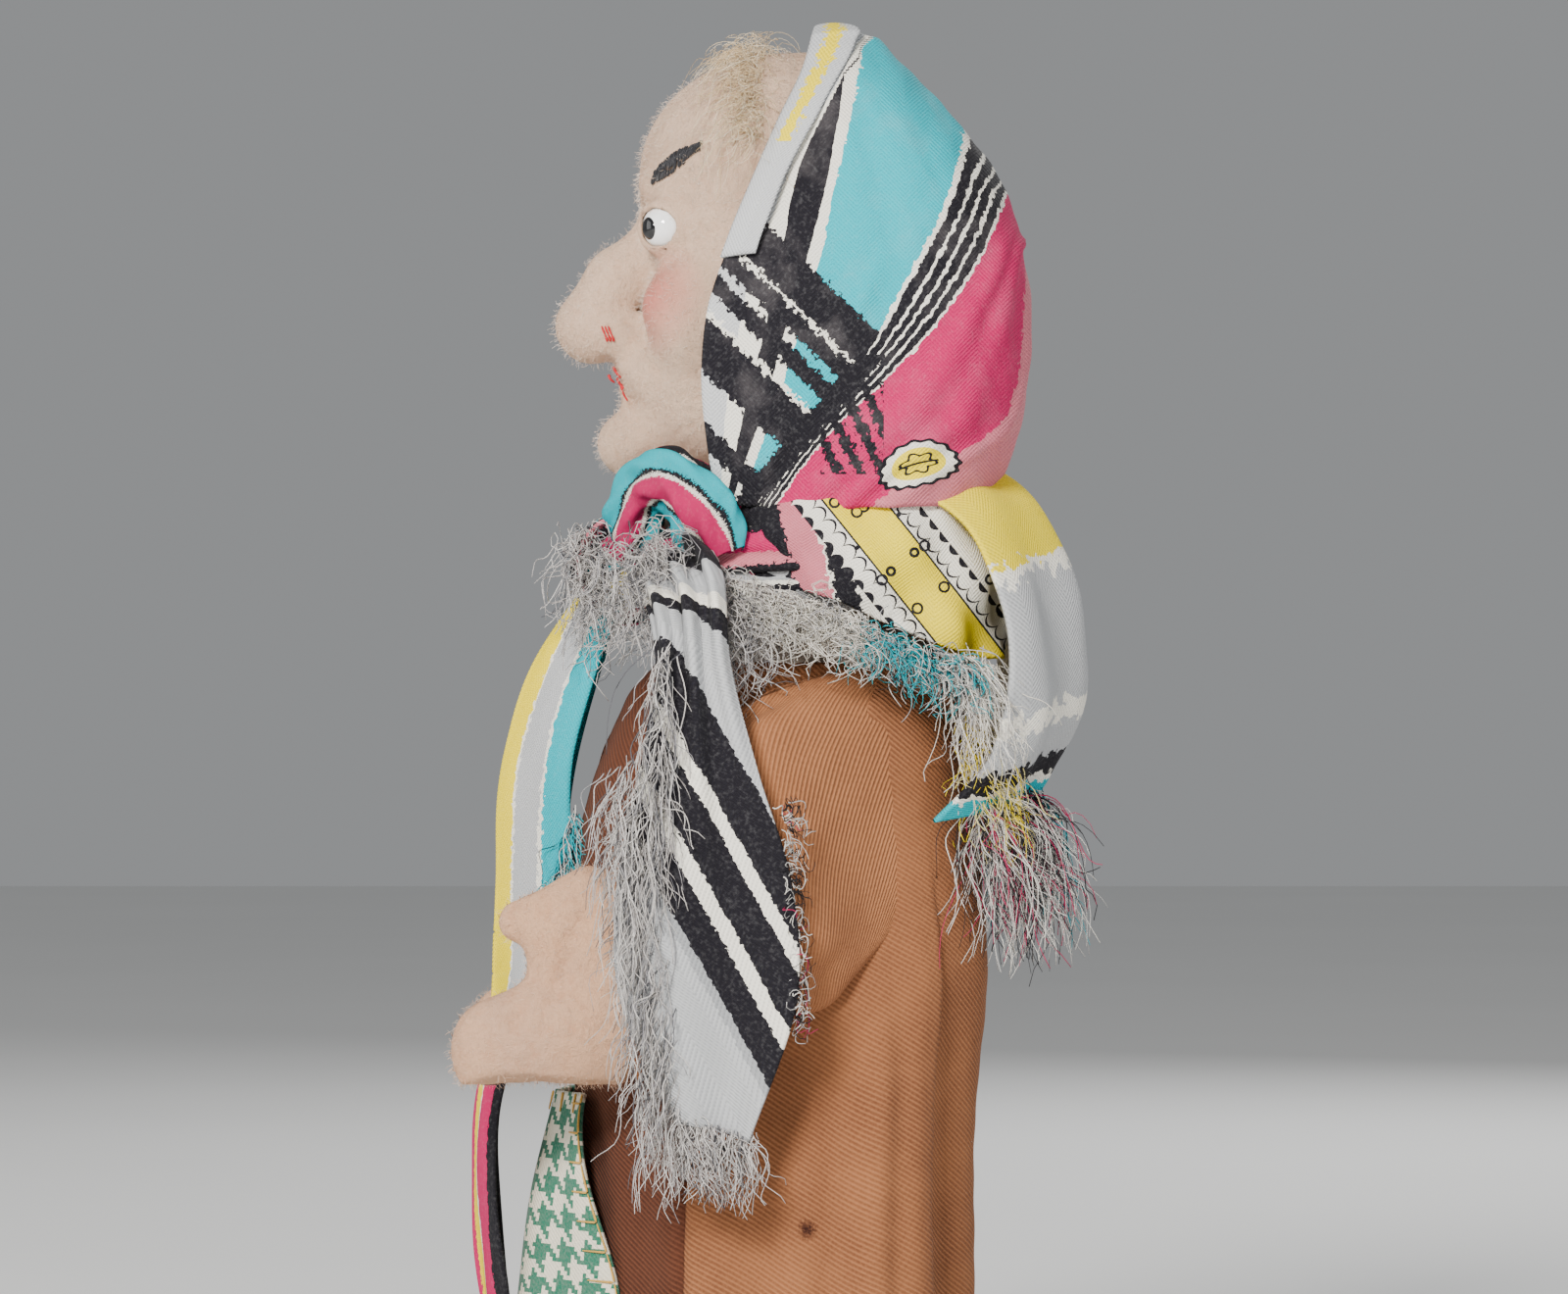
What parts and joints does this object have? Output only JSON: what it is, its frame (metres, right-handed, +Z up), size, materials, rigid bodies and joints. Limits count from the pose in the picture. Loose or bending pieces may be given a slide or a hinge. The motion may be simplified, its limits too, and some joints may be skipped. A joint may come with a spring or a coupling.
{
  "type": "hand puppet",
  "caption": "Glove puppet of an old woman with a felt head, striped fringed headscarf, brown twill robe and stuffed mitten hands; head nods and turns, arms lift, hands clap",
  "frame": {"origin": "middle of the hem opening, on the hem plane, where the hand goes in", "axes": "+Z up along the puppet, -Y the way the face and hands point, +X the puppet's left side"},
  "size_m": [0.1101, 0.1395, 0.3137],
  "materials": {
    "twill_brown": "worn wool twill, fine diagonal wale",
    "cotton_plain": "plain cotton",
    "cotton_check": "green and cream check",
    "thread_ochre": "soft ochre embroidery thread",
    "thread_linen": "linen thread",
    "scarf_cloth": "fine striped twill kerchief",
    "scarf_fringe": "frayed threads",
    "cardboard": "rolled grey board",
    "felt_skin": "fuzzy wool felt, soiled",
    "stuffing": "wood wool and kapok",
    "glass_white": "glossy white ball",
    "glass_black": "glossy black dot",
    "wire": "plain iron wire",
    "thread_black": "thick black wool thread",
    "thread_red": "red cotton thread",
    "mohair": "blond mohair"
  },
  "bodies": {
    "glove": {"robe_back": "twill_brown", "robe_left_front": "twill_brown", "robe_right_front": "twill_brown", "under_dress": "cotton_plain", "apron_front": "cotton_check", "apron_blanket_stitches": "thread_ochre"},
    "neckline": {"neck_gather": "cotton_plain", "neck_binding": "thread_linen", "scarf_neck_wrap": "scarf_cloth", "scarf_knot": "scarf_cloth"},
    "head": {"neck_tube": "cardboard", "head_skin": "felt_skin", "head_stuffing": "stuffing", "left_eye": "glass_white", "left_pupil": "glass_black", "left_eye_shank": "wire", "right_eye": "glass_white", "right_pupil": "glass_black", "right_eye_shank": "wire", "left_eyebrow": "thread_black", "right_eyebrow": "thread_black", "mouth_stitches": "thread_red", "nostril_stitches": "thread_red", "scarf_hood": "scarf_cloth", "scarf_front_fold": "scarf_cloth", "hair_front": "mohair"},
    "left_arm": {"left_sleeve": "twill_brown", "left_glove_arm": "cotton_plain", "left_finger_tube": "cardboard"},
    "right_arm": {"right_sleeve": "twill_brown", "right_glove_arm": "cotton_plain", "right_finger_tube": "cardboard"},
    "left_hand": {"left_mitten_back": "felt_skin", "left_mitten_palm": "felt_skin", "left_mitten_stuffing": "stuffing", "left_mitten_stitch": "thread_linen"},
    "right_hand": {"right_mitten_back": "felt_skin", "right_mitten_palm": "felt_skin", "right_mitten_stuffing": "stuffing", "right_mitten_stitch": "thread_linen"},
    "left_scarf_end": {"left_tail": "scarf_cloth", "left_tail_fringe": "scarf_fringe"},
    "front_scarf_end": {"front_tail": "scarf_cloth", "front_tail_fringe": "scarf_fringe"},
    "back_scarf_corner": {"back_drape": "scarf_cloth", "back_drape_fringe": "scarf_fringe"}
  },
  "joints": [
    {"name": "head_nod", "type": "hinge", "parent": "glove", "child": "neckline", "pos_m": [0, 0.006, 0.188], "axis": [1, 0, 0], "range_deg": [-15, 18], "deforming": ["neck_gather", "scarf_neck_wrap"]},
    {"name": "head_turn", "type": "hinge", "parent": "neckline", "child": "head", "pos_m": [0, 0.006, 0.212], "axis": [0, 0, 1], "range_deg": [-35, 35]},
    {"name": "left_arm_raise", "type": "hinge", "parent": "glove", "child": "left_arm", "pos_m": [0.04, 0.005, 0.16], "axis": [-1, 0, 0], "range_deg": [0, 55], "deforming": ["left_sleeve", "left_glove_arm"]},
    {"name": "right_arm_raise", "type": "hinge", "parent": "glove", "child": "right_arm", "pos_m": [-0.04, 0.005, 0.16], "axis": [-1, 0, 0], "range_deg": [0, 55], "deforming": ["right_sleeve", "right_glove_arm"]},
    {"name": "left_hand_clap", "type": "hinge", "parent": "left_arm", "child": "left_hand", "pos_m": [0.04, -0.034, 0.118], "axis": [0, 0, -1], "range_deg": [-12, 25]},
    {"name": "right_hand_clap", "type": "hinge", "parent": "right_arm", "child": "right_hand", "pos_m": [-0.04, -0.034, 0.118], "axis": [0, 0, 1], "range_deg": [-12, 25]},
    {"name": "left_tail_hang", "type": "hinge", "parent": "neckline", "child": "left_scarf_end", "pos_m": [0.014, -0.019, 0.196], "axis": [-1, 0, 0], "range_deg": [-15, 18]},
    {"name": "front_tail_hang", "type": "hinge", "parent": "neckline", "child": "front_scarf_end", "pos_m": [0, -0.041, 0.19], "axis": [-1, 0, 0], "range_deg": [-15, 18]},
    {"name": "back_corner_hang", "type": "hinge", "parent": "neckline", "child": "back_scarf_corner", "pos_m": [0, 0.042, 0.209], "axis": [-1, 0, 0], "range_deg": [-15, 18]}
  ],
  "couplings": [
    {"joint": "left_tail_hang", "follows": "head_nod", "ratio": 1},
    {"joint": "front_tail_hang", "follows": "head_nod", "ratio": 1},
    {"joint": "back_corner_hang", "follows": "head_nod", "ratio": 1}
  ]
}
